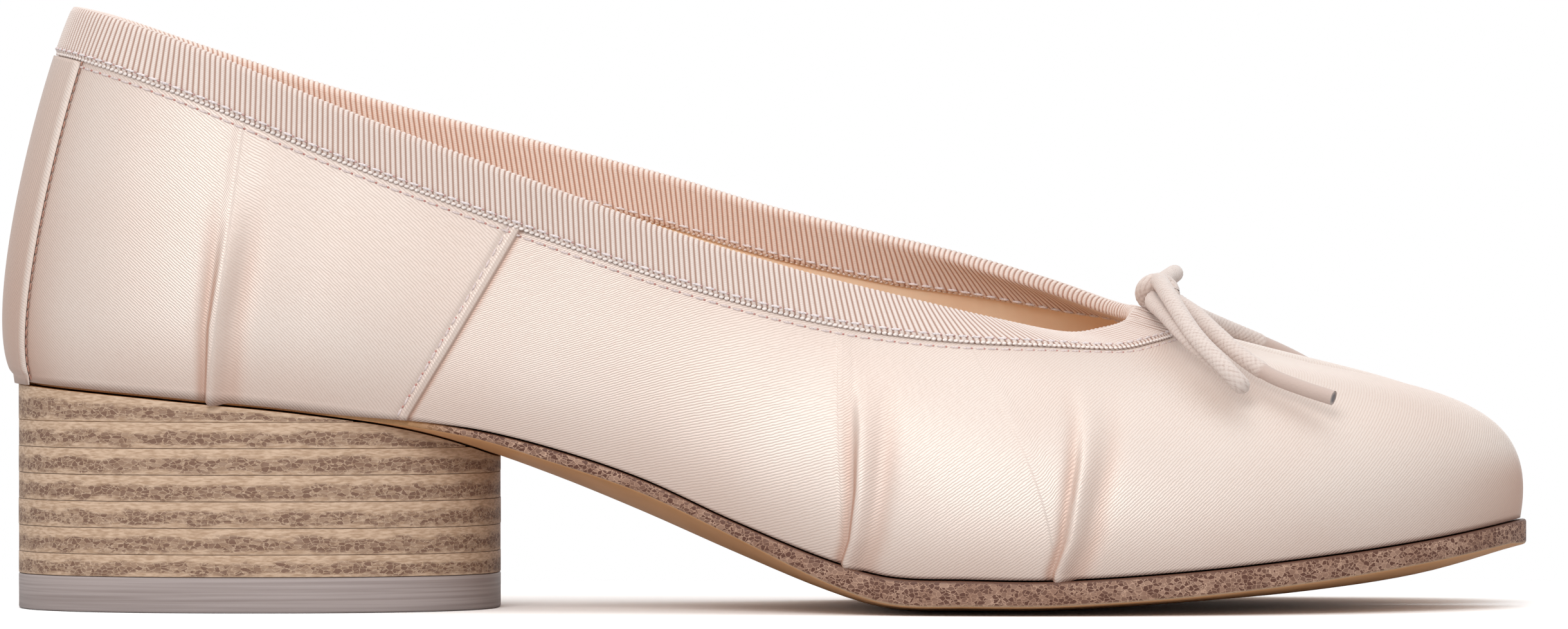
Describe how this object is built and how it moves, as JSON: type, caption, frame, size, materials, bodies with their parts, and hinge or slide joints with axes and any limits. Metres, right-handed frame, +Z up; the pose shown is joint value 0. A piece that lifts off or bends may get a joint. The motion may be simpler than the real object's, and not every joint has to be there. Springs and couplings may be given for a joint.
{
  "type": "tabi pump",
  "caption": "Slip-on split-toe pump in satin with a ribbon-bound topline, a small cord bow at the throat, a leather sole and a low round stacked heel.",
  "frame": {"origin": "on the floor, under the middle of the shoe's length and width", "axes": "+X towards the toe, +Y towards the inner (big toe) side, +Z up"},
  "size_m": [0.2498, 0.0838, 0.0989],
  "materials": {
    "satin": "pale blush satin with a soft sheen",
    "ribbon": "ribbed grosgrain, dusty pink",
    "cord": "braided cotton, dusty pink",
    "sole_leather": "tan underside, dark stained edge",
    "insole_leather": "natural vegetable-tanned leather",
    "heel_leather": "raw stacked leather with a crackled dark stain",
    "top_piece": "matte, finely streaked"
  },
  "bodies": {
    "root": {"upper": "satin", "back_strip": "satin", "topline_ribbon": "ribbon", "outsole": "sole_leather", "insole": "insole_leather", "heel_top_piece": "top_piece", "heel_lift_1": "heel_leather", "heel_lift_2": "heel_leather", "heel_lift_3": "heel_leather", "heel_lift_4": "heel_leather", "heel_lift_5": "heel_leather", "heel_lift_6": "heel_leather", "heel_lift_7": "heel_leather", "bow_knot": "cord", "bow_loop_outer": "cord", "bow_loop_inner": "cord", "bow_end_outer": "cord", "bow_end_inner": "cord"}
  },
  "joints": []
}
